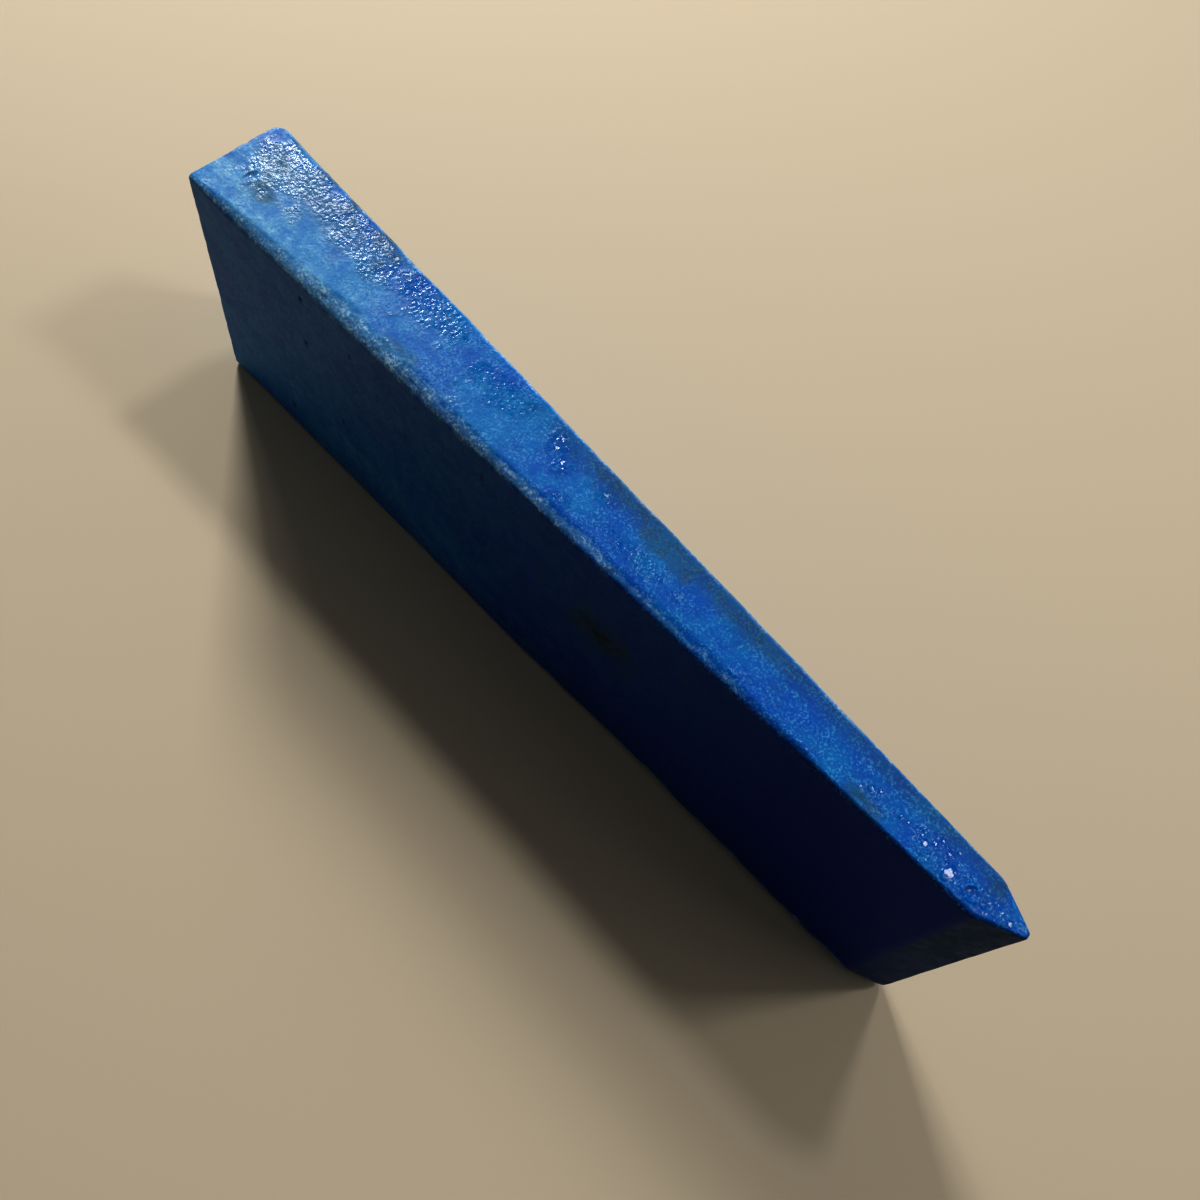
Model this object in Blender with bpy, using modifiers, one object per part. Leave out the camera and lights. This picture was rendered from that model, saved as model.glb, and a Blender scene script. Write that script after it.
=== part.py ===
"""Forged steel prying wedge with a chisel edge, in one piece.

The wedge stands on one of its two narrow edges, with the broad cheeks upright.
+X runs from the butt to the cutting edge, +Y across the thickness, and +Z up.
The origin is on the ground in the middle of the wedge's box.
"""

import bmesh
import bpy
from mathutils import Vector

# Driving dimensions, in metres.
LENGTH = 0.200  # from the butt face to the cutting edge
BEVEL_LENGTH = 0.008  # from the shoulder, where the ground bevels start, to the cutting edge
BUTT_THICKNESS = 0.0232  # across the cheeks at the butt
SHOULDER_THICKNESS = 0.0091  # across the cheeks at the shoulder
EDGE_LAND = 0.0012  # flat left on the blunt cutting edge
BUTT_HEIGHT = 0.0577  # from the lower to the upper narrow edge at the butt
SHOULDER_HEIGHT = 0.0619  # the same at the shoulder, where forging the taper spread the bar
ARRIS_RADIUS = 0.0019  # worn rounding along the four long arrises
BUTT_RADIUS = 0.0011  # rounding round the butt face
SHOULDER_RADIUS = 0.0007  # where a cheek turns into its bevel
EDGE_RADIUS = 0.0004  # rounding round the cutting edge

ROUND_SEGMENTS = 4  # facets across each rounding
SHADE_ANGLE = 0.61  # radians; sharper edges than this stay crisp

# Painted steel.
ENAMEL_BLUE = (0.004, 0.080, 0.330, 1.0)  # linear colour
ENAMEL_ROUGHNESS = 0.34


def remove_old_objects() -> None:
    """Empties the scene, so that the script can be run again."""
    for old in list(bpy.data.objects):
        bpy.data.objects.remove(old, do_unlink=True)


def new_collection(name: str) -> bpy.types.Collection:
    """Returns a new collection linked to the scene."""
    collection = bpy.data.collections.new(name)
    bpy.context.scene.collection.children.link(collection)
    return collection


def enamel(name: str, colour: tuple, roughness: float) -> bpy.types.Material:
    """Returns a plain glossy paint."""
    material = bpy.data.materials.new(name)
    material.use_nodes = True
    shader = material.node_tree.nodes["Principled BSDF"]
    shader.inputs["Base Color"].default_value = colour
    shader.inputs["Roughness"].default_value = roughness
    shader.inputs["Metallic"].default_value = 0.0
    return material


def verts_at(mesh: bmesh.types.BMesh, x: float) -> list:
    """Returns the vertices in the cross-section at x."""
    return [v for v in mesh.verts if abs(v.co.x - x) < 1e-6]


def scale_section(mesh: bmesh.types.BMesh, section: list, thickness: float, height: float) -> None:
    """Gives a cross-section its thickness, about Y = 0, and its height, above Z = 0."""
    old_thickness = max(v.co.y for v in section) - min(v.co.y for v in section)
    old_height = max(v.co.z for v in section)
    factors = Vector((1.0, thickness / old_thickness, height / old_height))
    bmesh.ops.scale(mesh, vec=factors, verts=section)


def rounding_of(edge: bmesh.types.BMEdge, butt_x: float, shoulder_x: float, edge_x: float) -> float:
    """Returns the rounding radius of one edge of the sharp wedge, or 0 where it stays flat."""
    xs = sorted(v.co.x for v in edge.verts)
    upright = abs(edge.verts[0].co.z - edge.verts[1].co.z) > SHOULDER_THICKNESS
    if abs(xs[1] - butt_x) < 1e-6:
        return BUTT_RADIUS
    if abs(xs[0] - butt_x) < 1e-6:
        return ARRIS_RADIUS
    if abs(xs[1] - shoulder_x) < 1e-6:
        return SHOULDER_RADIUS if upright else 0.0
    if abs(xs[0] - edge_x) < 1e-6 or abs(xs[1] - edge_x) < 1e-6:
        return EDGE_RADIUS
    return 0.0


def sharp_wedge() -> bmesh.types.BMesh:
    """Returns the wedge before its edges are worn: a box tapered and drawn to an edge."""
    butt_x = -LENGTH / 2
    shoulder_x = LENGTH / 2 - BEVEL_LENGTH
    edge_x = LENGTH / 2
    mesh = bmesh.new()
    bmesh.ops.create_cube(mesh, size=1.0)
    body_size = Vector((shoulder_x - butt_x, BUTT_THICKNESS, BUTT_HEIGHT))
    bmesh.ops.scale(mesh, vec=body_size, verts=mesh.verts)
    middle = Vector(((butt_x + shoulder_x) / 2, 0.0, BUTT_HEIGHT / 2))
    bmesh.ops.translate(mesh, vec=middle, verts=mesh.verts)
    scale_section(mesh, verts_at(mesh, shoulder_x), SHOULDER_THICKNESS, SHOULDER_HEIGHT)

    shoulder_face = next(f for f in mesh.faces if all(abs(v.co.x - shoulder_x) < 1e-6 for v in f.verts))
    drawn = bmesh.ops.extrude_face_region(mesh, geom=[shoulder_face])["geom"]
    tip = [item for item in drawn if isinstance(item, bmesh.types.BMVert)]
    bmesh.ops.translate(mesh, vec=Vector((BEVEL_LENGTH, 0.0, 0.0)), verts=tip)
    bmesh.ops.delete(mesh, geom=[shoulder_face], context="FACES_ONLY")
    scale_section(mesh, verts_at(mesh, edge_x), EDGE_LAND, SHOULDER_HEIGHT)
    bmesh.ops.recalc_face_normals(mesh, faces=mesh.faces)

    weights = mesh.edges.layers.float.new("bevel_weight_edge")
    for edge in mesh.edges:
        edge[weights] = rounding_of(edge, butt_x, shoulder_x, edge_x) / ARRIS_RADIUS
    return mesh


def make_wedge_body(collection: bpy.types.Collection) -> bpy.types.Object:
    """Builds the whole tool: one solid forging with worn edges."""
    mesh = bpy.data.meshes.new("wedge_body")
    shape = sharp_wedge()
    shape.to_mesh(mesh)
    shape.free()
    wedge = bpy.data.objects.new("wedge_body", mesh)
    collection.objects.link(wedge)

    rounding = wedge.modifiers.new("worn_edges", "BEVEL")
    rounding.limit_method = "WEIGHT"
    rounding.offset_type = "OFFSET"
    rounding.width = ARRIS_RADIUS
    rounding.segments = ROUND_SEGMENTS
    rounding.use_clamp_overlap = False

    mesh.materials.append(enamel("blue_enamel", ENAMEL_BLUE, ENAMEL_ROUGHNESS))
    mesh.shade_smooth()
    mesh.set_sharp_from_angle(angle=SHADE_ANGLE)
    return wedge


def main() -> None:
    """Builds the wedge in its own collection."""
    remove_old_objects()
    make_wedge_body(new_collection("prying_wedge"))


main()
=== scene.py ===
"""Looks of the forged prying wedge: worn gloss enamel brushed over a hand-forged steel bar.

The wedge stands on one narrow edge. +X runs from the butt to the cutting edge, +Y across the
thickness, and +Z up. Lengths are in metres unless a name says otherwise.
"""

from __future__ import annotations

import logging
import math
from dataclasses import dataclass
from enum import Enum
from functools import partial

import bmesh
import bpy
import numpy as np
from mathutils import Euler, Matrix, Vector, noise

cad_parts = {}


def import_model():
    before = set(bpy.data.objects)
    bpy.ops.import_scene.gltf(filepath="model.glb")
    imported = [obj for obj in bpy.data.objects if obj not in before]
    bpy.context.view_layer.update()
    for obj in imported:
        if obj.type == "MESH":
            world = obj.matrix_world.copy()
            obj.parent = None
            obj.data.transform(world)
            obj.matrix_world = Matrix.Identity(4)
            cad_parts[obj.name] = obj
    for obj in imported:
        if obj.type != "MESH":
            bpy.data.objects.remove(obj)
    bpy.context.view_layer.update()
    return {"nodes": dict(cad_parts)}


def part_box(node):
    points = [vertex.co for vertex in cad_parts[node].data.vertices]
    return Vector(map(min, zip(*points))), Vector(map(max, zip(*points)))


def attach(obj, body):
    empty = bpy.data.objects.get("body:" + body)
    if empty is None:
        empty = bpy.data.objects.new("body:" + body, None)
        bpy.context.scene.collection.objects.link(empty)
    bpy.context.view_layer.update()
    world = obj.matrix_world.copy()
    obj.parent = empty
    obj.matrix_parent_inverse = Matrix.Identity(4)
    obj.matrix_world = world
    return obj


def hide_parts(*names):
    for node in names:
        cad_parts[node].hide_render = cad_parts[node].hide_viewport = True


LOG = logging.getLogger("prying_wedge")
MM = 0.001

# A vertex is on a side when its normal leans that way by more than this, as a cosine. Off the
# side, its distance from a spot counts as too far to feel it.
ON_SIDE = 0.3
TOO_FAR = 99.0


# ---------------------------------------------------------------------------------------------
# Small helpers
# ---------------------------------------------------------------------------------------------


def linear(hex_colour: str) -> tuple[float, float, float, float]:
    """Turns an sRGB hex colour to linear.

    Args:
        hex_colour: six hex digits, such as "0A4FA0".

    Returns:
        Red, green, blue and an alpha of 1, all linear.
    """
    channels = [int(hex_colour[i : i + 2], 16) / 255 for i in (0, 2, 4)]
    bent = [c / 12.92 if c <= 0.04045 else ((c + 0.055) / 1.055) ** 2.4 for c in channels]
    return (bent[0], bent[1], bent[2], 1.0)


def smooth_step(low: float, high: float, value: np.ndarray) -> np.ndarray:
    """Rises smoothly from 0 to 1.

    Args:
        low: where it is 0, which may be the larger of the two.
        high: where it is 1.
        value: the places to work it out for.

    Returns:
        A share from 0 to 1 for each place.
    """
    share = np.clip((value - low) / (high - low), 0.0, 1.0)
    return share * share * (3.0 - 2.0 * share)


def soft_min(first: np.ndarray, second: np.ndarray, blend: float) -> np.ndarray:
    """Takes the smaller of two arrays, with the corner between them rounded.

    Args:
        first: one array.
        second: the other.
        blend: how far the rounding reaches.

    Returns:
        The smaller value at each place.
    """
    gap = np.clip(0.5 + 0.5 * (second - first) / blend, 0.0, 1.0)
    return second * (1.0 - gap) + first * gap - blend * gap * (1.0 - gap)


def round_over(distance: np.ndarray, radius: float) -> np.ndarray:
    """Works out how far a surface pulls in near a rounded edge.

    Args:
        distance: how far each point is from the edge.
        radius: the edge's radius.

    Returns:
        How far each point moves inwards.
    """
    inside = np.clip(radius - distance, 0.0, radius)
    return radius - np.sqrt(radius * radius - inside * inside)


def lumps(points: np.ndarray, size_mm: float, seed: float) -> np.ndarray:
    """Samples smooth noise.

    Args:
        points: positions, one row each.
        size_mm: width of one lump.
        seed: moves the pattern, so that two calls differ.

    Returns:
        One value from about -1 to 1 for each point.
    """
    return np.array([noise.noise(Vector(p)) for p in points / (size_mm * MM) + seed])


def graded_rows(start: float, end: float, count: int, fine: float, reach: float) -> np.ndarray:
    """Spaces grid rows so that they are closer together near both ends.

    Args:
        start: place of the first row.
        end: place of the last row.
        count: number of gaps between rows.
        fine: spacing at the ends, as a share of the spacing in the middle.
        reach: how far from an end the rows are close together.

    Returns:
        The places of count + 1 rows.
    """
    samples = np.linspace(start, end, 2000)
    to_end = np.minimum(samples - start, end - samples)
    density = 1.0 / (fine + (1.0 - fine) * smooth_step(0.0, reach, to_end))
    travelled = np.concatenate([[0.0], np.cumsum((density[1:] + density[:-1]) / 2)])
    return np.interp(np.linspace(0.0, travelled[-1], count + 1), travelled, samples)


def add_node(
    tree: bpy.types.NodeTree,
    kind: str,
    settings: dict | None = None,
    inputs: dict | None = None,
    output: int | str = 0,
) -> bpy.types.NodeSocket:
    """Adds one node to a material.

    Args:
        tree: the material's node tree.
        kind: the node's type name.
        settings: attributes of the node, such as its operation.
        inputs: for each input, by name or number, the output that feeds it or its constant value.
        output: the output wanted, by name or number.

    Returns:
        That output.
    """
    node = tree.nodes.new(kind)
    for name, value in (settings or {}).items():
        setattr(node, name, value)
    for key, value in (inputs or {}).items():
        if isinstance(value, bpy.types.NodeSocket):
            tree.links.new(value, node.inputs[key])
        else:
            node.inputs[key].default_value = value
    return node.outputs[output]


def per_metre(size_mm: float) -> float:
    """Returns the texture scale that makes one lump of a pattern this many millimetres wide."""
    return 1.0 / (size_mm * MM)


@dataclass(frozen=True)
class Profile:
    """A value that changes along the wedge, given at a few stations in millimetres from mid-length."""

    stations_mm: tuple[float, ...]
    values: tuple[float, ...]

    def at(self, x: np.ndarray) -> np.ndarray:
        """Returns the value at each x, which is in metres."""
        return np.interp(x / MM, self.stations_mm, self.values)


# --------------------------------------------------------------------------------------------- Flaws and stains
# Flaws and stains set by hand
# ---------------------------------------------------------------------------------------------


class Side(Enum):
    """The faces of the wedge, each by its outward direction."""

    UPPER_EDGE = (0.0, 0.0, 1.0)
    NEAR_CHEEK = (0.0, -1.0, 0.0)
    FAR_CHEEK = (0.0, 1.0, 0.0)
    BUTT = (-1.0, 0.0, 0.0)


class Shape(Enum):
    """How a flaw rises or sinks from its middle to its rim."""

    PIT = "pit"
    DENT = "dent"
    CRATER = "crater"
    FACET = "facet"


@dataclass(frozen=True)
class Spot:
    """An oval place on one side, measured in millimetres.

    The first measure is along the wedge from mid-length, or along Y on the butt. The second is
    across the face: along Y on the upper edge, and along Z on the cheeks and the butt.
    """

    side: Side
    along_mm: float
    across_mm: float
    half_along_mm: float
    half_across_mm: float

    def distance(self, points: np.ndarray, normals: np.ndarray) -> np.ndarray:
        """Measures how far points lie from the middle of the spot.

        Args:
            points: positions, one row each.
            normals: their normals.

        Returns:
            Each point's distance, which is 1 on the rim and very large off this side.
        """
        along = points[:, 1] if self.side is Side.BUTT else points[:, 0]
        across = points[:, 1] if self.side is Side.UPPER_EDGE else points[:, 2]
        off = np.hypot(
            (along / MM - self.along_mm) / self.half_along_mm,
            (across / MM - self.across_mm) / self.half_across_mm,
        )
        return np.where(normals @ np.array(self.side.value) > ON_SIDE, off, TOO_FAR)


@dataclass(frozen=True)
class Flaw(Spot):
    """One pit, dent, ringed crater, or flat facet that tips towards the cutting edge."""

    shape: Shape
    depth_mm: float
    ring_height: float = 0.75
    ring_width: float = 0.28
    pit_steepness: float = 0.6
    facet_flatness: float = 2.5
    dent_falloff: float = 1.6

    def height(self, points: np.ndarray, normals: np.ndarray) -> np.ndarray:
        """Works out the flaw's relief.

        Args:
            points: positions, one row each.
            normals: their normals.

        Returns:
            How far the flaw lifts each point along its normal, in metres.
        """
        off = self.distance(points, normals)
        dome = np.clip(1.0 - off * off, 0.0, 1.0)
        if self.shape is Shape.CRATER:
            ring = np.exp(-(((off - 1.0) / self.ring_width) ** 2))
            lift = self.ring_height * ring - dome
        elif self.shape is Shape.PIT:
            lift = -(dome**self.pit_steepness)
        elif self.shape is Shape.FACET:
            ahead = (points[:, 0] / MM - self.along_mm) / self.half_along_mm
            lift = (1.0 - ahead) * np.clip(self.facet_flatness * dome, 0.0, 1.0)
        else:
            lift = -np.exp(-off * off * self.dent_falloff)
        return lift * self.depth_mm * MM


class Mask(Enum):
    """What a stain adds to; each value is the name of an attribute of the mesh."""

    GLOSS = "gloss"
    GRIME = "grime"
    CHALK = "bloom"


@dataclass(frozen=True)
class Stain(Spot):
    """A soft patch of gloss, grime, chalk, painted sheen or painted light."""

    mask: Mask
    strength: float
    falloff: float = 2.4

    def share(self, points: np.ndarray, normals: np.ndarray, ragged: np.ndarray) -> np.ndarray:
        """Works out where the stain shows.

        Args:
            points: positions, one row each.
            normals: their normals.
            ragged: stretches the distances, to break the stain's outline.

        Returns:
            How strong the stain is at each point.
        """
        off = self.distance(points, normals) * ragged
        return self.strength * np.exp(-(off**self.falloff))


UPPER, NEAR, FAR, BUTT = Side.UPPER_EDGE, Side.NEAR_CHEEK, Side.FAR_CHEEK, Side.BUTT
PIT, DENT, CRATER, FACET = Shape

# The flaws that can be told apart, from the butt to the cutting edge. The far cheek's and the
# butt's are guesses in keeping with the rest.
FLAWS: tuple[Flaw, ...] = (
    Flaw(UPPER, -91.8, -2.3, 0.7, 1.8, PIT, 0.22),
    Flaw(UPPER, -86.5, -3.0, 3.2, 2.0, DENT, 0.12),
    Flaw(UPPER, -38.5, 4.6, 0.4, 1.0, FACET, 0.10),
    Flaw(UPPER, -36.6, 5.4, 0.4, 0.6, FACET, 0.10),
    Flaw(UPPER, -10.4, 3.9, 0.4, 0.5, FACET, 0.07),
    Flaw(UPPER, -9.4, 4.7, 0.4, 0.8, FACET, 0.07),
    Flaw(UPPER, -8.8, 2.6, 0.4, 0.6, FACET, 0.07),
    Flaw(UPPER, -7.4, 3.6, 0.3, 0.5, FACET, 0.05),
    Flaw(UPPER, -6.0, 1.4, 0.4, 0.8, FACET, 0.065),
    Flaw(UPPER, -4.9, 0.4, 0.4, 0.6, FACET, 0.065),
    Flaw(UPPER, 3.9, 2.8, 0.5, 0.7, FACET, 0.075),
    Flaw(UPPER, 4.9, 2.0, 0.3, 0.4, FACET, 0.045),
    Flaw(UPPER, -1.4, -4.1, 0.3, 0.6, FACET, 0.05),
    Flaw(UPPER, 12.4, -2.2, 0.3, 0.4, FACET, 0.04),
    Flaw(UPPER, 67.4, -2.2, 0.4, 0.5, FACET, 0.09),
    Flaw(UPPER, 68.9, -1.2, 0.5, 0.7, FACET, 0.10),
    Flaw(UPPER, 70.2, -0.3, 0.4, 0.4, FACET, 0.08),
    Flaw(UPPER, 73.6, -1.7, 0.4, 0.4, FACET, 0.08),
    Flaw(UPPER, 75.0, -0.9, 0.4, 0.6, FACET, 0.08),
    Flaw(UPPER, 76.3, -0.7, 0.4, 0.4, FACET, 0.07),
    Flaw(UPPER, 79.0, -0.6, 0.4, 0.5, FACET, 0.07),
    Flaw(UPPER, 80.1, -1.3, 0.6, 0.6, FACET, 0.10),
    Flaw(UPPER, 81.3, -0.1, 0.4, 0.5, FACET, 0.07),
    Flaw(UPPER, 81.8, 1.3, 0.4, 0.4, FACET, 0.07),
    Flaw(UPPER, 83.8, 0.4, 0.5, 0.5, FACET, 0.08),
    Flaw(UPPER, 84.8, 1.8, 0.4, 0.4, FACET, 0.07),
    Flaw(UPPER, 85.4, -2.3, 1.0, 1.5, FACET, 0.16),
    Flaw(UPPER, 89.8, -1.7, 1.25, 1.25, CRATER, 0.17),
    Flaw(UPPER, 92.2, -1.8, 0.7, 0.6, FACET, 0.09),
    Flaw(UPPER, 96.8, -0.9, 0.7, 0.5, FACET, 0.08),
    Flaw(NEAR, -66.2, 52.0, 0.6, 0.9, PIT, 0.35),
    Flaw(NEAR, -66.4, 38.8, 0.6, 0.9, PIT, 0.35),
    Flaw(NEAR, -52.0, 49.2, 0.5, 0.8, PIT, 0.22),
    Flaw(NEAR, -33.2, 53.0, 0.6, 0.6, PIT, 0.22),
    Flaw(NEAR, -25.8, 49.0, 0.5, 0.9, PIT, 0.20),
    Flaw(NEAR, -36.2, 40.6, 0.5, 0.7, PIT, 0.20),
    Flaw(NEAR, -44.0, 44.4, 0.6, 1.6, PIT, 0.18),
    Flaw(NEAR, -15.4, 51.8, 0.5, 1.6, PIT, 0.22),
    Flaw(NEAR, -75.5, 8.2, 0.5, 1.7, PIT, 0.30),
    Flaw(NEAR, -56.6, 22.2, 0.6, 1.3, PIT, 0.20),
    Flaw(NEAR, -7.4, 7.4, 0.4, 1.8, PIT, 0.26),
    Flaw(NEAR, 34.8, 12.0, 0.4, 1.2, PIT, 0.22),
    Flaw(NEAR, 18.5, 37.0, 8.0, 6.0, DENT, 0.30),
    Flaw(NEAR, 22.5, 34.5, 1.8, 1.6, DENT, 0.22),
    Flaw(NEAR, 14.6, 36.0, 0.9, 1.2, DENT, 0.15),
    Flaw(FAR, -71.0, 46.0, 0.6, 0.8, PIT, 0.30),
    Flaw(FAR, -38.0, 27.0, 7.0, 6.0, DENT, 0.28),
    Flaw(FAR, -12.0, 14.0, 0.6, 1.4, PIT, 0.25),
    Flaw(FAR, 22.0, 51.0, 0.5, 0.9, PIT, 0.22),
    Flaw(FAR, 47.0, 44.0, 5.0, 4.0, DENT, 0.22),
    Flaw(BUTT, -3.0, 34.0, 5.0, 4.5, DENT, 0.35),
    Flaw(BUTT, 4.0, 22.0, 4.5, 5.0, DENT, 0.30),
    Flaw(BUTT, -2.0, 12.0, 4.0, 3.5, DENT, 0.25),
    Flaw(BUTT, 3.0, 45.0, 4.0, 4.0, DENT, 0.28),
)

# Where the paint film is thick and wet-looking, where dirt sits, and where the paint has chalked. The
# chalk stains on the near upper arris are partly painted sheen, and those low on the near cheek are
# painted light.
STAINS: tuple[Stain, ...] = (
    Stain(UPPER, -88.0, 4.4, 8.0, 5.4, Mask.GLOSS, 1.0),
    Stain(UPPER, -73.0, 5.6, 10.0, 3.8, Mask.GLOSS, 1.0),
    Stain(UPPER, -62.0, 3.6, 6.0, 3.0, Mask.GLOSS, 0.5),
    Stain(UPPER, -45.0, 5.2, 10.0, 3.2, Mask.GLOSS, 0.9),
    Stain(UPPER, -24.0, 3.0, 6.0, 3.5, Mask.GLOSS, 0.7),
    Stain(UPPER, -9.0, 3.4, 2.2, 3.0, Mask.GLOSS, 1.0),
    Stain(UPPER, -5.4, 0.6, 1.9, 2.2, Mask.GLOSS, 1.0),
    Stain(UPPER, 4.2, 2.3, 2.4, 2.0, Mask.GLOSS, 1.0),
    Stain(UPPER, -1.0, -4.0, 2.4, 1.6, Mask.GLOSS, 0.9),
    Stain(UPPER, 41.0, -5.4, 2.0, 1.4, Mask.GLOSS, 0.9),
    Stain(UPPER, 57.0, -4.6, 2.0, 1.2, Mask.GLOSS, 0.9),
    Stain(UPPER, 16.0, -1.5, 8.0, 2.2, Mask.GLOSS, 0.5),
    Stain(UPPER, 69.5, -1.4, 2.6, 2.0, Mask.GLOSS, 0.9),
    Stain(UPPER, 82.0, -0.4, 5.0, 2.6, Mask.GLOSS, 1.0),
    Stain(UPPER, 91.0, -1.5, 9.0, 2.2, Mask.GLOSS, 1.0),
    Stain(UPPER, -44.0, -8.4, 6.0, 1.6, Mask.GLOSS, 0.9),
    Stain(UPPER, -10.0, -9.0, 4.0, 1.2, Mask.GLOSS, 0.9),
    Stain(UPPER, -84.0, 3.6, 14.0, 4.8, Mask.CHALK, 0.10),
    Stain(UPPER, -80.0, 4.2, 18.0, 4.6, Mask.GRIME, 0.45),
    # Partly painted sheen: these chalk stains lighten the near upper arris and the near side of the
    # top by the butt.
    Stain(UPPER, -62.0, -9.6, 16.0, 3.0, Mask.CHALK, 0.9),
    Stain(UPPER, -88.0, -5.0, 10.0, 3.2, Mask.CHALK, 0.35),
    Stain(UPPER, -44.0, -8.2, 7.0, 1.8, Mask.CHALK, 0.8),
    Stain(UPPER, -86.0, -3.0, 3.0, 2.0, Mask.GRIME, 0.9),
    Stain(UPPER, -90.0, 4.0, 1.6, 1.6, Mask.GRIME, 0.5),
    Stain(UPPER, -62.0, 7.8, 5.0, 1.8, Mask.GRIME, 0.7),
    Stain(UPPER, -42.0, -5.6, 5.0, 1.0, Mask.GRIME, 0.5),
    Stain(UPPER, 17.5, 3.0, 4.5, 1.6, Mask.GRIME, 0.9),
    Stain(UPPER, 8.0, 5.4, 14.0, 1.6, Mask.GRIME, 0.3),
    Stain(UPPER, 36.0, 3.6, 10.0, 2.0, Mask.GRIME, 0.3),
    Stain(UPPER, 68.0, -3.6, 2.2, 1.0, Mask.GRIME, 0.7),
    Stain(UPPER, 92.3, 2.4, 1.2, 1.2, Mask.GRIME, 0.6),
    Stain(UPPER, -80.0, 10.4, 20.0, 1.2, Mask.GRIME, 0.5),
    # Painted light: these chalk stains lighten the near cheek low down.
    Stain(NEAR, -43.0, 12.0, 9.0, 5.0, Mask.CHALK, 0.20),
    Stain(NEAR, -62.0, 16.0, 7.0, 8.0, Mask.CHALK, 0.10),
    Stain(NEAR, -22.0, 9.0, 8.0, 5.0, Mask.CHALK, 0.16),
    Stain(NEAR, 17.5, 37.5, 8.0, 7.0, Mask.GRIME, 0.85),
    Stain(FAR, -38.0, 27.0, 11.0, 6.0, Mask.GRIME, 0.4),
    Stain(FAR, 34.0, 18.0, 14.0, 5.0, Mask.GRIME, 0.35),
    Stain(FAR, -70.0, 40.0, 12.0, 9.0, Mask.CHALK, 0.25),
)


# ---------------------------------------------------------------------------------------------
# The wedge
# ---------------------------------------------------------------------------------------------


@dataclass(frozen=True)
class Arris:
    """One of the four long edges, worn to a soft chamfer.

    side_y is -1 on the near cheek and +1 on the far one; side_z is -1 below and +1 above.
    plan_mm and drop_mm are how far the wear reaches across the narrow edge and down the cheek.
    fullness is 2 for a round arris and nearer 1 for a flat chamfer. rub is how thin its paint is.
    """

    side_y: int
    side_z: int
    plan_mm: Profile
    drop_mm: Profile
    fullness: float
    rub: Profile


NEAR_UPPER = Arris(
    side_y=-1,
    side_z=1,
    plan_mm=Profile(
        (-100, -86, -73, -52, -18, 15, 36, 52, 62, 90, 96, 100),
        (0.7, 1.8, 2.8, 3.9, 2.4, 2.8, 2.7, 1.5, 0.9, 0.8, 0.7, 0.35),
    ),
    drop_mm=Profile(
        (-100, -86, -52, -18, 0, 36, 60, 90, 96, 100),
        (0.6, 2.0, 2.8, 2.7, 2.1, 1.6, 1.3, 0.9, 0.7, 0.4),
    ),
    fullness=1.45,
    rub=Profile((-100, -72, -45, -5, 30, 60, 100), (0.7, 1.0, 1.0, 0.8, 0.45, 0.3, 0.2)),
)
FAR_UPPER = Arris(
    side_y=1,
    side_z=1,
    plan_mm=Profile((-100, 0, 90, 96, 100), (1.9, 1.7, 1.2, 0.7, 0.35)),
    drop_mm=Profile((-100, 0, 90, 96, 100), (2.2, 1.8, 1.2, 0.7, 0.4)),
    fullness=1.8,
    rub=Profile((-100, -60, 0, 60, 100), (0.9, 0.7, 0.6, 0.8, 0.4)),
)
NEAR_LOWER = Arris(
    side_y=-1,
    side_z=-1,
    plan_mm=Profile((-100, 0, 30, 88, 96, 100), (1.1, 1.5, 2.6, 2.8, 1.6, 0.35)),
    drop_mm=Profile((-100, 0, 30, 88, 100), (1.2, 2.0, 5.0, 7.0, 4.0)),
    fullness=1.9,
    rub=Profile((-100, 0, 100), (0.7, 0.6, 0.6)),
)
FAR_LOWER = Arris(
    side_y=1,
    side_z=-1,
    plan_mm=Profile((-100, 0, 88, 96, 100), (1.3, 1.6, 2.2, 1.4, 0.35)),
    drop_mm=Profile((-100, 0, 88, 100), (1.6, 2.2, 4.0, 2.5)),
    fullness=1.9,
    rub=Profile((-100, 0, 100), (0.7, 0.6, 0.6)),
)


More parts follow.
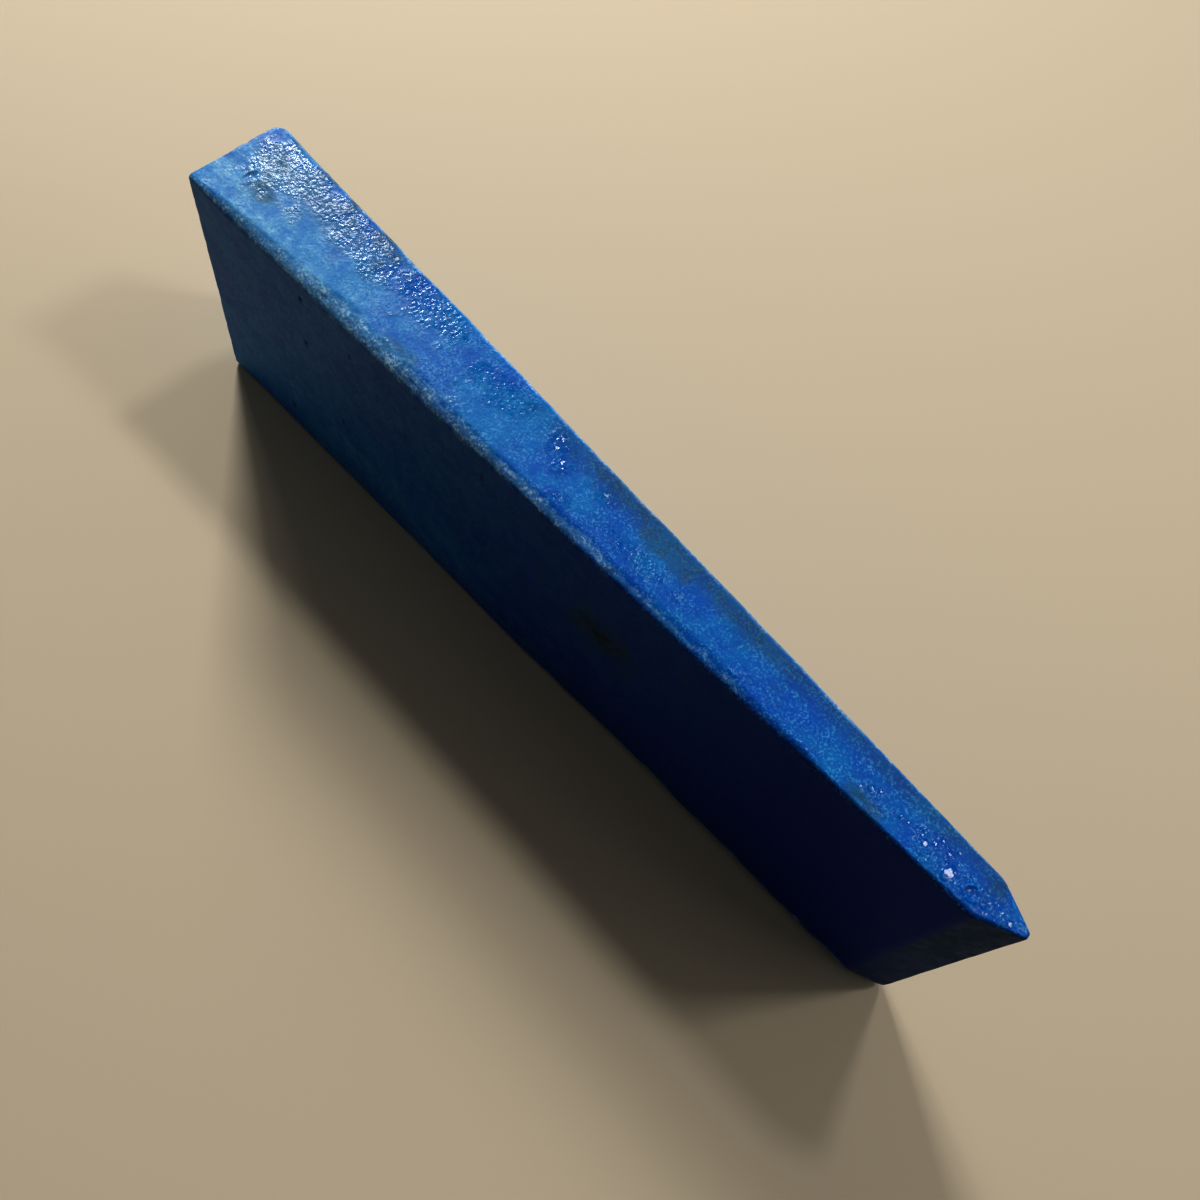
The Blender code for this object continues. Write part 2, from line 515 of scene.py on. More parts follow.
@dataclass
class ForgedWedge:
    """The whole tool: one tapered bar, drawn to a chisel edge."""

    low: Vector
    high: Vector
    shoulder_thickness: float = 9.1 * MM
    edge_land: float = 1.1 * MM
    butt_height: float = 57.7 * MM
    bevel_length: float = 8.0 * MM
    shoulder_softness: float = 0.5 * MM
    near_butt_radius: float = 0.8 * MM
    far_butt_radius: float = 2.6 * MM
    upper_butt_radius: float = 0.9 * MM
    lower_butt_radius: float = 1.4 * MM
    cutting_edge_radius: float = 0.3 * MM
    upper_tip_radius: float = 0.7 * MM
    lower_tip_radius: float = 3.2 * MM
    butt_skew: float = 0.065
    butt_set_in: float = 0.25 * MM
    butt_skew_reach: float = 25 * MM
    arris_waver: float = 0.30
    arris_waver_mm: float = 9.0
    rows: tuple[int, int, int] = (360, 44, 60)
    arrises: tuple[Arris, ...] = (NEAR_UPPER, FAR_UPPER, NEAR_LOWER, FAR_LOWER)
    small_flaw_mm: float = 1.6
    refined_reach: float = 1.9

    def build(self) -> bpy.types.Object:
        """Builds the finished wedge.

        Returns:
            The wedge as a mesh object at the origin, with its wear stored as attributes.
        """
        mesh = bpy.data.meshes.new("forged_wedge")
        self._grid_blank(mesh)
        unit = self._read(mesh)
        points, _ = self._shape(unit)
        self._write(mesh, points)
        close = self._near_small_flaws(points, self._normals(mesh))
        self._write(mesh, unit)
        self._refine(mesh, close)

        points, wear = self._shape(self._read(mesh))
        self._write(mesh, points)
        points, hollow = self._forge(points, self._normals(mesh), wear)
        self._write(mesh, points)
        self._store_masks(mesh, points, self._normals(mesh), wear, hollow)
        mesh.shade_smooth()
        wedge = bpy.data.objects.new("forged_wedge", mesh)
        bpy.context.scene.collection.objects.link(wedge)
        return wedge

    def _grid_blank(self, mesh: bpy.types.Mesh) -> None:
        """Fills a mesh with a cube from 0 to 1, cut into a fine grid along each direction.

        Args:
            mesh: the empty mesh to fill.
        """
        blank = bmesh.new()
        bmesh.ops.create_cube(blank, size=1.0)
        bmesh.ops.translate(blank, vec=Vector((0.5, 0.5, 0.5)), verts=blank.verts)
        for axis, rows in enumerate(self.rows):
            running = [
                e for e in blank.edges if abs(e.verts[0].co[axis] - e.verts[1].co[axis]) > 0.5
            ]
            bmesh.ops.subdivide_edges(blank, edges=running, cuts=rows - 1, use_grid_fill=True)
        bmesh.ops.recalc_face_normals(blank, faces=blank.faces)
        blank.to_mesh(mesh)
        blank.free()

    def _near_small_flaws(self, points: np.ndarray, normals: np.ndarray) -> np.ndarray:
        """Finds the vertices that a small flaw touches.

        Args:
            points: the smooth wedge's vertices.
            normals: their normals.

        Returns:
            True for each vertex that needs a finer grid round it.
        """
        close = np.zeros(len(points), bool)
        for flaw in FLAWS:
            if min(flaw.half_along_mm, flaw.half_across_mm) < self.small_flaw_mm:
                close |= flaw.distance(points, normals) < self.refined_reach
        return close

    @staticmethod
    def _refine(mesh: bpy.types.Mesh, close: np.ndarray) -> None:
        """Cuts each edge in three where both its ends are close to a flaw.

        Args:
            mesh: the gridded cube.
            close: True for each vertex that is close to a small flaw.
        """
        grid = bmesh.new()
        grid.from_mesh(mesh)
        grid.verts.ensure_lookup_table()
        edges = [e for e in grid.edges if close[e.verts[0].index] and close[e.verts[1].index]]
        bmesh.ops.subdivide_edges(grid, edges=edges, cuts=2, use_grid_fill=True)
        grid.to_mesh(mesh)
        grid.free()

    @staticmethod
    def _read(mesh: bpy.types.Mesh) -> np.ndarray:
        """Reads where the vertices are.

        Args:
            mesh: the mesh to read.

        Returns:
            Their positions, one row each.
        """
        flat = np.empty(len(mesh.vertices) * 3)
        mesh.vertices.foreach_get("co", flat)
        return flat.reshape(-1, 3)

    @staticmethod
    def _write(mesh: bpy.types.Mesh, points: np.ndarray) -> None:
        """Moves the mesh's vertices to these positions."""
        mesh.vertices.foreach_set("co", points.ravel())
        mesh.update()

    @staticmethod
    def _normals(mesh: bpy.types.Mesh) -> np.ndarray:
        """Reads which way the vertices face.

        Args:
            mesh: the mesh to read.

        Returns:
            Their normals, one row each.
        """
        flat = np.empty(len(mesh.vertices) * 3, np.float32)
        mesh.vertex_normals.foreach_get("vector", flat)
        return flat.reshape(-1, 3).astype(float)

    def _shape(self, unit: np.ndarray) -> tuple[np.ndarray, np.ndarray]:
        """Turns the gridded cube into the wedge with worn arrises.

        Args:
            unit: the cube's vertices, from 0 to 1.

        Returns:
            The wedge's vertices, and how far each one lies into each arris, from 0 to 1.
        """
        butt_x, edge_x = self.low.x, self.high.x
        tables = (
            graded_rows(butt_x, edge_x, self.rows[0], 0.45, 14 * MM),
            graded_rows(-1.0, 1.0, self.rows[1], 0.55, 0.5),
            graded_rows(0.0, 1.0, self.rows[2], 0.35, 0.2),
        )
        x, across, up = (
            np.interp(unit[:, i] * self.rows[i], np.arange(self.rows[i] + 1), tables[i])
            for i in range(3)
        )
        shoulder_x = edge_x - self.bevel_length
        slope = (self.high.y - self.shoulder_thickness / 2) / (shoulder_x - butt_x)
        cheek = self.high.y - slope * (x - butt_x)
        ground = (edge_x - x) / self.bevel_length
        bevel = self.edge_land / 2 + (self.shoulder_thickness - self.edge_land) / 2 * ground
        half = soft_min(cheek, bevel, self.shoulder_softness)
        spread = (self.high.z - self.butt_height) / (shoulder_x - butt_x)
        top = np.minimum(self.butt_height + spread * (x - butt_x), self.high.z)

        from_butt, from_edge = x - butt_x, edge_x - x
        blunt = round_over(from_edge, self.cutting_edge_radius)
        near = -half + round_over(from_butt, self.near_butt_radius) + blunt
        far = half - round_over(from_butt, self.far_butt_radius) - blunt
        top = top - round_over(from_butt, self.upper_butt_radius)
        top = top - round_over(from_edge, self.upper_tip_radius)
        bottom = round_over(from_butt, self.lower_butt_radius)
        bottom = bottom + round_over(from_edge, self.lower_tip_radius)

        y = near + (far - near) * (across + 1.0) / 2
        z = bottom + (top - bottom) * up
        wear = np.zeros((len(x), len(self.arrises)))
        along = np.stack([x, x * 0, x * 0], 1)
        uneven = 1.0 + self.arris_waver * lumps(along, self.arris_waver_mm, seed=4.2)
        for i, arris in enumerate(self.arrises):
            wall = far if arris.side_y > 0 else near
            lid = top if arris.side_z > 0 else bottom
            plan = np.minimum(arris.plan_mm.at(x) * MM * uneven, half * 0.8)
            drop = arris.drop_mm.at(x) * MM * uneven
            into_plan = np.clip(1.0 - np.abs(wall - y) / plan, 0.0, 1.0)
            into_drop = np.clip(1.0 - np.abs(lid - z) / drop, 0.0, 1.0)
            wear[:, i] = np.minimum(into_plan, into_drop)
            power = arris.fullness
            reach = (into_plan**power + into_drop**power) ** (1.0 / power)
            pull = 1.0 - 1.0 / np.maximum(reach, 1.0)
            y = y - arris.side_y * plan * into_plan * pull
            z = z - arris.side_z * drop * into_drop * pull

        skew = np.clip(1.0 - from_butt / self.butt_skew_reach, 0.0, 1.0)
        x = x + skew * (self.butt_set_in - self.butt_skew * y)
        return np.stack([x, y, z], 1), wear

    def _forge(
        self, points: np.ndarray, normals: np.ndarray, wear: np.ndarray
    ) -> tuple[np.ndarray, np.ndarray]:
        """Gives the surface the relief of forging, scale, knocks and thick paint.

        Args:
            points: the smooth wedge's vertices.
            normals: their normals.
            wear: how far each vertex lies into each arris.

        Returns:
            The moved vertices, and how deep each one sits in a hollow, from 0 to 1.
        """
        narrow = smooth_step(0.35, 0.8, np.abs(normals[:, 2]))
        butt_end = smooth_step(0.6, 0.9, -normals[:, 0])
        crest = wear.max(axis=1)
        rough = np.clip(narrow + 0.8 * crest + 0.6 * butt_end, 0.0, 1.0)
        calm_tip = smooth_step(98 * MM, 70 * MM, points[:, 0])

        # Each layer of relief is in millimetres, from the broad swell left by the hammer down to
        # the grain of the scale. The chips are drawn out along the arrises, and the butt's rim
        # is torn by blows. The middle of it all sinks a little, to stay inside the bar's size.
        swell = lumps(points, 34.0, seed=1.3) * 0.22
        planish = lumps(points, 7.5, seed=7.7) * (0.05 + 0.06 * rough)
        scale = lumps(points, 2.6, seed=3.1) * (0.012 + 0.035 * rough * (0.4 + 0.6 * calm_tip))
        grain = lumps(points, 1.3, seed=9.4) * (0.004 + 0.03 * rough * calm_tip)
        drawn = points * np.array((0.5, 1.0, 1.0))
        bites = lumps(drawn, 1.5, seed=5.5) + 0.5 * lumps(drawn, 4.0, seed=6.6)
        chips = -smooth_step(0.40, 0.80, bites) * 0.13 * crest
        at_butt = smooth_step(2.2 * MM, 0.3 * MM, points[:, 0] - self.low.x)
        torn = -smooth_step(0.1, 0.6, lumps(points, 1.8, seed=2.9)) * 0.35 * at_butt
        torn = torn * (1.0 - 0.6 * butt_end)
        sunk = 0.10

        marks = sum(flaw.height(points, normals) for flaw in FLAWS)
        lift = (swell + planish + scale + grain + chips + torn - sunk) * MM + marks
        moved = points + normals * lift[:, None]
        moved[:, 2] = np.maximum(moved[:, 2], 0.0)
        hollow = np.clip(-(scale + 1.2 * grain + chips + torn) / 0.10, 0.0, 1.0)
        return moved, np.clip(hollow + np.clip(-marks / (0.25 * MM), 0.0, 1.0), 0.0, 1.0)

    def _store_masks(
        self,
        mesh: bpy.types.Mesh,
        points: np.ndarray,
        normals: np.ndarray,
        wear: np.ndarray,
        hollow: np.ndarray,
    ) -> None:
        """Stores where the paint is rubbed, chalky, dirty, glossy or gone, and where painted light and
        shade go, as attributes.

        Args:
            mesh: the finished mesh, which gets the attributes.
            points: its vertices.
            normals: their normals.
            wear: how far each vertex lies into each arris.
            hollow: how deep each vertex sits in a hollow.
        """
        x, y, z = points.T
        upper = smooth_step(0.5, 0.9, normals[:, 2])
        cheeks = smooth_step(0.55, 0.9, np.abs(normals[:, 1]))
        butt = smooth_step(0.6, 0.9, -normals[:, 0])
        far_half = smooth_step(0.0, 0.75, y / self._half_at(x))
        masks = {mask.value: np.zeros(len(x)) for mask in Mask}
        ragged = 1.0 + 0.7 * lumps(points, 5.0, seed=8.3) + 0.5 * lumps(points, 2.0, seed=3.7)
        for stain in STAINS:
            masks[stain.mask.value] += stain.share(points, normals, ragged)
        masks["rub"] = 0.6 * smooth_step(2.0 * MM, 0.6 * MM, x - self.low.x) * (1.0 - butt)
        for i, arris in enumerate(self.arrises):
            masks["rub"] = np.maximum(masks["rub"], wear[:, i] ** 0.6 * arris.rub.at(x))

        # Painted glare and light: the top's chalk grows paler towards the butt, partly as painted
        # glare, and the cheeks and butt are painted lighter near the butt.
        top_chalk_and_glare = Profile((-100, -72, -50, -28, 10, 60), (0.46, 0.50, 0.32, 0.15, 0.04, 0.02))
        cheek_chalk_and_light = Profile((-100, -60, 0, 60, 100), (0.27, 0.22, 0.12, 0.03, 0.0))
        masks["bloom"] += upper * top_chalk_and_glare.at(x) * (1.0 - 0.7 * far_half)
        masks["bloom"] += (cheeks + butt) * cheek_chalk_and_light.at(x)
        grimy = smooth_step(-25 * MM, 5 * MM, x) * smooth_step(98 * MM, 90 * MM, x)
        masks["grime"] += 0.45 * upper * far_half * grimy
        masks["grime"] = np.minimum(masks["grime"], 1.0 - 0.4 * upper)
        masks["gloss"] += 0.25 * upper * smooth_step(60 * MM, 20 * MM, x)
        masks["bare"] = butt * (0.60 + 0.6 * lumps(points, 9.0, seed=8.8))
        # Painted shade: the ground bevel gets the grime layers, darker towards its top.
        ground = smooth_step(0.30, 0.42, normals[:, 0]) * smooth_step(0.98, 0.9, normals[:, 0])
        masks["grime"] += ground * (0.45 + 0.2 * smooth_step(20 * MM, 45 * MM, z))
        masks["hollow"] = hollow
        masks["facet"] = np.zeros(len(x))
        for flaw in FLAWS:
            if flaw.shape is FACET:
                masks["facet"] += smooth_step(1.25, 0.9, flaw.distance(points, normals))
        grainy = np.abs(normals[:, 2]) + wear.max(axis=1) + 0.6 * butt
        masks["cast"] = np.clip(grainy, 0.0, 1.0) * np.clip(1.0 - masks["facet"], 0.0, 1.0)
        # Painted shade: the cheeks are painted darker navy, more towards the cutting edge and less low
        # down by the butt.
        low_butt = smooth_step(32 * MM, 8 * MM, z) * smooth_step(15 * MM, -30 * MM, x)
        navy = Profile((-100, -40, 60, 100), (0.35, 0.55, 1.0, 1.0)).at(x)
        masks["navy"] = cheeks * navy * (1.0 - 0.7 * low_butt)
        for name, values in masks.items():
            layer = mesh.attributes.new(name, "FLOAT", "POINT")
            layer.data.foreach_set("value", np.clip(values, 0.0, 1.0).astype(np.float32))

    def _half_at(self, x: np.ndarray) -> np.ndarray:
        """Returns half the thickness of the bar at each x, without the ground bevel."""
        stations = (self.low.x, self.high.x - self.bevel_length)
        return np.interp(x, stations, (self.high.y, self.shoulder_thickness / 2))


# ---------------------------------------------------------------------------------------------
# Finishes
# ---------------------------------------------------------------------------------------------

TIMES = {"operation": "MULTIPLY", "use_clamp": True}
PLUS = {"operation": "ADD", "use_clamp": True}
TIMES_PLUS = {"operation": "MULTIPLY_ADD", "use_clamp": True}
SOFT_RANGE = {"interpolation_type": "SMOOTHSTEP"}
COLOUR_MIX = {"data_type": "RGBA"}
MIX_SHARE, MIX_UNDER, MIX_OVER, MIX_OUT = 0, 6, 7, 2


@dataclass(frozen=True)
class GlossEnamel:
    """Gloss alkyd enamel, brushed straight over a forged and scaled bar.

    The thick glossy film follows the scale's grain, so a bright source breaks into many small
    glints. Towards the butt the film has chalked, which greys it, and the paler wash there is
    partly painted glare; on the arrises it is rubbed thin, and the near upper arris is lightened
    by painted sheen with pale painted glints among its scuffs; on the cheeks it went on thinner
    and dried duller, with faint brush lines, and their colour is painted light and shade, paler
    by the butt and darker navy towards the cutting edge. The hollows are painted darker as shade.
    The grit in the film is finer than 0.3 mm. It is drawn 0.5 to 0.6 mm wide, so that it shows.
    """

    deep: str = "0056AE"
    teal: str = "0070B2"
    navy: str = "042C7C"
    pool: str = "0A4886"
    chalk_light_tint: str = "86BCD0"
    fleck: str = "58B0DC"
    thin_lit_tint: str = "5C9EDC"
    primer_glint_tint: str = "B8DCFA"
    film: str = "385458"
    dirt: str = "23211C"
    steel: str = "4A4846"
    rust: str = "4E3423"
    fleck_share: float = 0.6
    thin_and_lit_share: float = 0.8
    pool_share: float = 0.2
    hollow_shade_share: float = 0.4
    grime_roughness: float = 0.3
    cloud_mm: float = 14.0
    mottle_mm: float = 3.2
    blotch_mm: float = 1.0
    speck_mm: float = 0.6
    pepper_mm: float = 0.5
    noise_detail: float = 4.0
    noise_roughness: float = 0.72
    grain_mm: float = 0.85
    grain_depth_mm: float = 0.19
    grain_detail: float = 1.5
    grain_roughness: float = 0.6
    peel_mm: float = 2.6
    peel_depth_mm: float = 0.03
    brush_mm: float = 0.9
    brush_length_mm: float = 22.0
    brush_depth_mm: float = 0.008
    dull: float = 0.55
    wet: float = 0.11
    sheen: float = 0.17

    def make(self) -> bpy.types.Material:
        """Makes the finish.

        Returns:
            The material.
        """
        material = bpy.data.materials.new("brushed_gloss_enamel")
        material.use_nodes = True
        tree = material.node_tree
        shader = tree.nodes["Principled BSDF"]
        add = partial(add_node, tree)
        place = add("ShaderNodeTexCoord", output="Object")
        names = (*(mask.value for mask in Mask), "rub", "bare", "hollow", "cast", "navy", "facet")
        mask = {n: add("ShaderNodeAttribute", {"attribute_name": n}, output="Fac") for n in names}
        kind = {"Vector": place, "Detail": self.noise_detail, "Roughness": self.noise_roughness}
        sizes = (self.cloud_mm, self.mottle_mm, self.blotch_mm, self.speck_mm, self.pepper_mm)
        cloud, mottle, blotch, speck, pepper = (
            add("ShaderNodeTexNoise", inputs={**kind, "Scale": per_metre(size)}) for size in sizes
        )
        clouded = add("ShaderNodeMapRange", SOFT_RANGE, {0: mottle, 1: 0.36, 2: 0.60})
        glossy = add("ShaderNodeMath", TIMES_PLUS, {0: mottle, 1: 0.8, 2: mask["gloss"]})
        glossy = add("ShaderNodeMapRange", SOFT_RANGE, {0: glossy, 1: 0.60, 2: 1.10})
        colour = self._colour(add, mask, cloud, mottle, speck, pepper, clouded, glossy)
        tree.links.new(colour, shader.inputs["Base Color"])
        patchy = add("ShaderNodeMapRange", SOFT_RANGE, {0: blotch, 1: 0.40, 2: 0.50})
        wetted = add("ShaderNodeMath", TIMES, {0: glossy, 1: patchy})
        wetted = add("ShaderNodeMath", PLUS, {0: wetted, 1: mask["facet"]})
        rough = self._roughness(add, wetted, mask["grime"], clouded)
        tree.links.new(rough, shader.inputs["Roughness"])
        shader.inputs["Specular IOR Level"].default_value = self.sheen
        tree.links.new(self._relief(add, place, mask["cast"], glossy), shader.inputs["Normal"])
        return material

    def _colour(
        self,
        add: partial,
        mask: dict[str, bpy.types.NodeSocket],
        cloud: bpy.types.NodeSocket,
        mottle: bpy.types.NodeSocket,
        speck: bpy.types.NodeSocket,
        pepper: bpy.types.NodeSocket,
        clouded: bpy.types.NodeSocket,
        glossy: bpy.types.NodeSocket,
    ) -> bpy.types.NodeSocket:
        """Layers the paint's tones, chalk, rubbed arrises, grime and bare scale, with painted glare,
        sheen, glints and shade.

        Args:
            add: adds a node to the material.
            mask: the wear, painted light and painted shade stored on the mesh, by name.
            cloud: the broadest noise, for the drift between the paint's two blues.
            mottle: noise with lumps of a few millimetres.
            speck: noise as fine as the grit in the film.
            pepper: a second such noise.
            clouded: the mottle with stronger contrast.
            glossy: where the film is thick and glossy, which deepens its colour.

        Returns:
            The colour.
        """
        # The blue drifts broadly, and chalk lies on it in broken patches. Its mask also carries
        # painted glare, sheen and light, which pale the colour and shift the tone.
        tone = add("ShaderNodeMapRange", SOFT_RANGE, {0: cloud, 1: 0.38, 2: 0.64})
        tone = add("ShaderNodeMath", PLUS, {0: tone, 1: mask["bloom"]})
        specks = add("ShaderNodeMapRange", SOFT_RANGE, {0: speck, 1: 0.36, 2: 0.66})
        broken = add("ShaderNodeMath", TIMES, {0: specks, 1: clouded})
        chalked_and_lit = add("ShaderNodeMath", TIMES_PLUS, {0: broken, 1: 0.75, 2: 0.25})
        chalked_and_lit = add("ShaderNodeMath", TIMES, {0: mask["bloom"], 1: chalked_and_lit})
        # Pale flecks of grit stand on the grainy faces, and the thick film looks deeper.
        flecked = add("ShaderNodeMath", TIMES_PLUS, {0: clouded, 1: 0.85, 2: 0.15})
        flecks = add("ShaderNodeMapRange", SOFT_RANGE, {0: pepper, 1: 0.50, 2: 0.60})
        flecks = add("ShaderNodeMath", TIMES, {0: flecks, 1: mask["cast"]})
        flecks = add("ShaderNodeMath", TIMES, {0: flecks, 1: flecked})
        flecks = add("ShaderNodeMath", TIMES, {0: flecks, 1: self.fleck_share})
        deepened = add("ShaderNodeMath", TIMES, {0: glossy, 1: self.pool_share})
        # The rub along the arrises has a ragged border, and scuffs within it. The rubbed paint's pale
        # blue is partly painted sheen, and the pale scuff specks are partly painted glints.
        ragged = add("ShaderNodeMath", TIMES_PLUS, {0: mottle, 1: 0.7, 2: mask["rub"]})
        rubbed = add("ShaderNodeMapRange", SOFT_RANGE, {0: ragged, 1: 0.60, 2: 1.00})
        thinned_and_lit = add("ShaderNodeMath", TIMES, {0: rubbed, 1: self.thin_and_lit_share})
        scuffs_and_glints = add("ShaderNodeMapRange", SOFT_RANGE, {0: speck, 1: 0.48, 2: 0.58})
        scuffs_and_glints = add("ShaderNodeMath", TIMES, {0: scuffs_and_glints, 1: rubbed})
        scuffs_and_glints = add("ShaderNodeMath", TIMES, {0: scuffs_and_glints, 1: clouded})
        # Dirt is a thin film first and cakes where there is most, and the same mask puts painted shade
        # on the ground bevel;
        # hollows get painted shade; and on the butt the paint has flaked off down to the steel, which
        # has rusted in specks.
        dirty = add("ShaderNodeMath", TIMES_PLUS, {0: clouded, 1: 0.3, 2: 0.7})
        dirty = add("ShaderNodeMath", TIMES, {0: dirty, 1: mask["grime"]})
        caked = add("ShaderNodeMapRange", SOFT_RANGE, {0: dirty, 1: 0.50, 2: 1.1})
        flaked = add("ShaderNodeMath", TIMES, {0: mottle, 1: mask["bare"]})
        flaked = add("ShaderNodeMapRange", SOFT_RANGE, {0: flaked, 1: 0.39, 2: 0.43})
        rusty = add("ShaderNodeMath", TIMES, {0: flaked, 1: specks})
        shaded = add("ShaderNodeMath", TIMES, {0: mask["hollow"], 1: self.hollow_shade_share})
        layers = (
            (tone, self.teal),
            # Painted shade on the cheeks.
            (mask["navy"], self.navy),
            (flecks, self.fleck),
            # Rubbed paint, partly painted sheen.
            (thinned_and_lit, self.thin_lit_tint),
            # Chalk, with painted glare, sheen and light.
            (chalked_and_lit, self.chalk_light_tint),
            (deepened, self.pool),
            # Scuffs, with painted glints.
            (scuffs_and_glints, self.primer_glint_tint),
            # Painted shade in the hollows.
            (shaded, self.navy),
            (dirty, self.film),
            (caked, self.dirt),
            (flaked, self.steel),
            (rusty, self.rust),
        )
        colour: bpy.types.NodeSocket | tuple = linear(self.deep)
        for share, over in layers:
            inputs = {MIX_SHARE: share, MIX_UNDER: colour, MIX_OVER: linear(over)}
            colour = add("ShaderNodeMix", COLOUR_MIX, inputs, output=MIX_OUT)
        return colour

    def _roughness(
        self,
        add: partial,
        glossy: bpy.types.NodeSocket,
        grime: bpy.types.NodeSocket,
        clouded: bpy.types.NodeSocket,
    ) -> bpy.types.NodeSocket:
        """Makes the film wet-looking where it is glossy, and dull elsewhere.

        Args:
            add: adds a node to the material.
            glossy: where the film is thick and glossy.
            grime: where dirt sits, and the painted shade on the ground bevel.
            clouded: the mottle with stronger contrast.

        Returns:
            The roughness.
        """
        film = {0: glossy, 1: 0.0, 2: 1.0, 3: self.dull, 4: self.wet}
        rough = add("ShaderNodeMapRange", None, film)
        dirty = add("ShaderNodeMath", TIMES, {0: grime, 1: clouded})
        return add("ShaderNodeMath", TIMES_PLUS, {0: dirty, 1: self.grime_roughness, 2: rough})

    def _relief(
        self,
        add: partial,
        place: bpy.types.NodeSocket,
        cast: bpy.types.NodeSocket,
        glossy: bpy.types.NodeSocket,
    ) -> bpy.types.NodeSocket:
        """Gives the film its brush lines, orange peel and the grain of the scale beneath.

        Args:
            add: adds a node to the material.
            place: object coordinates.
            cast: how grainy the face is, from 0 on the cheeks to 1 on the narrow edges.
            glossy: where the film is glossy, which is where the grain shows most.

        Returns:
            The normal.
        """
        peel = add(
            "ShaderNodeTexNoise",
            inputs={"Vector": place, "Scale": per_metre(self.peel_mm), "Detail": 1.0},
        )
        drawn = (1.0, 1.0, self.brush_mm / self.brush_length_mm)
        lines = add("ShaderNodeMapping", None, {"Vector": place, "Scale": drawn})
        brush = add("ShaderNodeTexNoise", None, {"Vector": lines, "Scale": per_metre(self.brush_mm)})
        grain = add(
            "ShaderNodeTexNoise",
            inputs={
                "Vector": place,
                "Scale": per_metre(self.grain_mm),
                "Detail": self.grain_detail,
                "Roughness": self.grain_roughness,
            },
        )
        shown = add("ShaderNodeMath", TIMES_PLUS, {0: glossy, 1: 0.50, 2: 0.50})
        amount = add("ShaderNodeMath", TIMES_PLUS, {0: cast, 1: 0.90, 2: 0.10})
        amount = add("ShaderNodeMath", TIMES, {0: amount, 1: shown})
        grain = add("ShaderNodeMath", TIMES, {0: grain, 1: amount})
        normal = None
        for height, depth in (
            (peel, self.peel_depth_mm),
            (brush, self.brush_depth_mm),
            (grain, self.grain_depth_mm),
        ):
            inputs = {"Height": height, "Distance": depth * MM}
            if normal is not None:
                inputs["Normal"] = normal
            normal = add("ShaderNodeBump", None, inputs)
        return normal


@dataclass(frozen=True)
class MattBoard:
    """Matt painted board for the studio floor: pale, smooth and nearly without gloss."""

    colour: str = "D0BEA2"
    roughness: float = 0.9
    sheen: float = 0.2

    def make(self) -> bpy.types.Material:
        """Makes the finish.

        Returns:
            The material.
        """
        material = bpy.data.materials.new("matt_painted_board")
        material.use_nodes = True
        shader = material.node_tree.nodes["Principled BSDF"]
        shader.inputs["Base Color"].default_value = linear(self.colour)
        shader.inputs["Roughness"].default_value = self.roughness
        shader.inputs["Specular IOR Level"].default_value = self.sheen
        return material


# ---------------------------------------------------------------------------------------------
# Studio
# ---------------------------------------------------------------------------------------------


@dataclass(frozen=True)
class SoftBox:
    """One square studio light that points at the wedge."""

    name: str
    direction: tuple[float, float, float]
    distance: float
    width: float
    watts: float
    colour: str = "FFFFFF"

    def place(self, target: Vector) -> None:
        """Adds the light to the scene.

        Args:
            target: the point that it faces, and that its distance is measured from.
        """
        data = bpy.data.lights.new(self.name, "AREA")
        data.shape = "SQUARE"
        data.size = self.width
        data.energy = self.watts
        data.color = linear(self.colour)[:3]
        light = bpy.data.objects.new(self.name, data)
        light.location = target + Vector(self.direction).normalized() * self.distance
        light.rotation_euler = (target - light.location).to_track_quat("-Z", "Y").to_euler()
        bpy.context.scene.collection.objects.link(light)


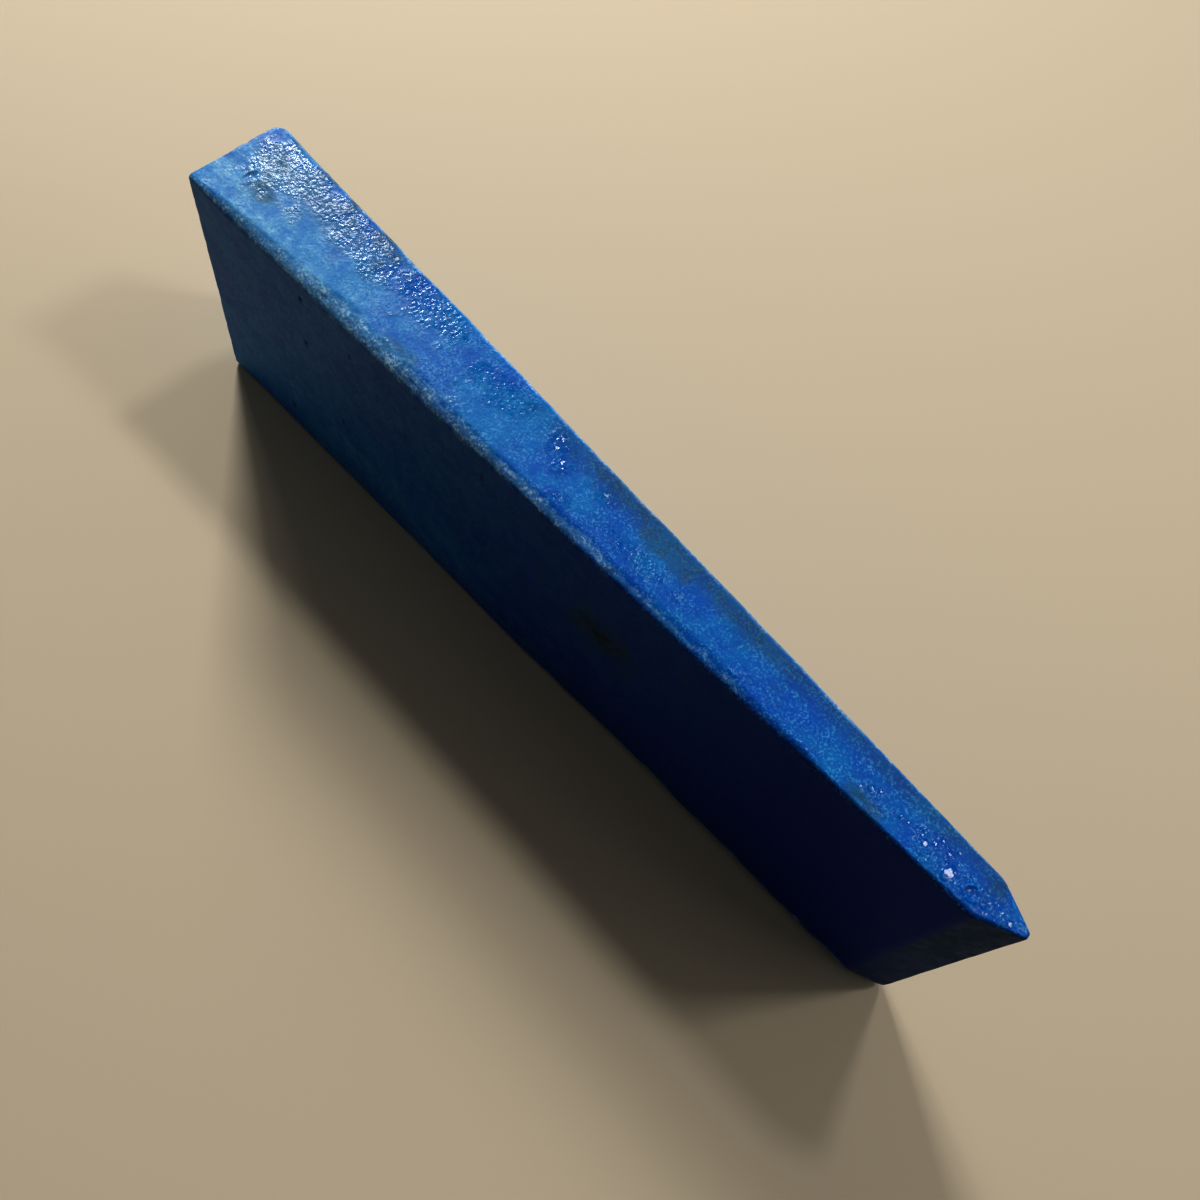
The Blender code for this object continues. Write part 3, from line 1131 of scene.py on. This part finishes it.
@dataclass
class Studio:
    """Pale floor, soft light and camera."""

    target: Vector
    floor_size: float = 6.0
    sky: str = "C8D2DC"
    sky_strength: float = 0.10
    camera_location: tuple[float, float, float] = (0.06066, -0.08070, 0.22213)
    camera_turn_deg: tuple[float, float, float] = (25.557, -7.641, 47.319)
    focal_length_mm: float = 33.27
    sensor_mm: float = 36.0
    nearest_seen: float = 10 * MM
    boxes: tuple[SoftBox, ...] = (
        SoftBox("window_light", (-0.82, 0.40, 0.47), 0.9, 0.26, 1.7, "F2F6FF"),
        SoftBox("bright_lamp", (-0.76, 0.42, 0.56), 0.9, 0.16, 3.6, "F6FAFF"),
        SoftBox("middle_lamp", (-0.064, 0.439, 0.894), 0.9, 0.08, 1.0, "F6FAFF"),
        SoftBox("tip_lamp", (0.40, 0.42, 0.81), 0.9, 0.10, 1.1, "F6FAFF"),
        SoftBox("side_light", (0.75, 0.60, 0.40), 1.2, 1.0, 1.6),
        SoftBox("overhead_light", (0.10, 0.12, 1.0), 1.3, 1.1, 0.6),
    )

    def build(self) -> None:
        """Builds the floor, the lights and the camera."""
        self._floor()
        for box in self.boxes:
            box.place(self.target)
            LOG.info("%s, %.1f W", box.name, box.watts)
        self._sky()
        self._camera()

    def _floor(self) -> None:
        """Lays the floor that the wedge stands on."""
        mesh = bpy.data.meshes.new("floor")
        sheet = bmesh.new()
        bmesh.ops.create_grid(sheet, x_segments=1, y_segments=1, size=self.floor_size / 2)
        sheet.to_mesh(mesh)
        sheet.free()
        mesh.materials.append(MattBoard().make())
        floor = bpy.data.objects.new("floor", mesh)
        bpy.context.scene.collection.objects.link(floor)

    def _sky(self) -> None:
        """Sets a dim even sky that fills the shadows, and the contrast the scene is shown with."""
        world = bpy.data.worlds.new("studio")
        world.use_nodes = True
        background = world.node_tree.nodes["Background"]
        background.inputs["Color"].default_value = linear(self.sky)
        background.inputs["Strength"].default_value = self.sky_strength
        bpy.context.scene.world = world
        view = bpy.context.scene.view_settings
        view.view_transform = "Standard"
        view.look = "High Contrast"

    def _camera(self) -> None:
        """Sets the camera, which looks steeply down across the near cheek."""
        data = bpy.data.cameras.new("camera")
        data.sensor_width = self.sensor_mm
        data.lens = self.focal_length_mm
        data.clip_start = self.nearest_seen
        camera = bpy.data.objects.new("camera", data)
        camera.location = self.camera_location
        camera.rotation_euler = Euler([math.radians(a) for a in self.camera_turn_deg], "XYZ")
        bpy.context.scene.collection.objects.link(camera)
        bpy.context.scene.camera = camera


def main() -> None:
    """Builds the wedge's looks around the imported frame, then the studio."""
    logging.basicConfig(level=logging.INFO, format="%(name)s: %(message)s")
    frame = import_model()
    LOG.info("frame holds %s", sorted(frame["nodes"]))

    low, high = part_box("wedge_body")
    wedge = ForgedWedge(low, high).build()
    wedge.data.materials.append(GlossEnamel().make())
    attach(wedge, "root")
    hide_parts("wedge_body")
    LOG.info("%s: %d faces", wedge.name, len(wedge.data.polygons))

    Studio(target=(low + high) / 2).build()


if __name__ == "__main__":
    main()
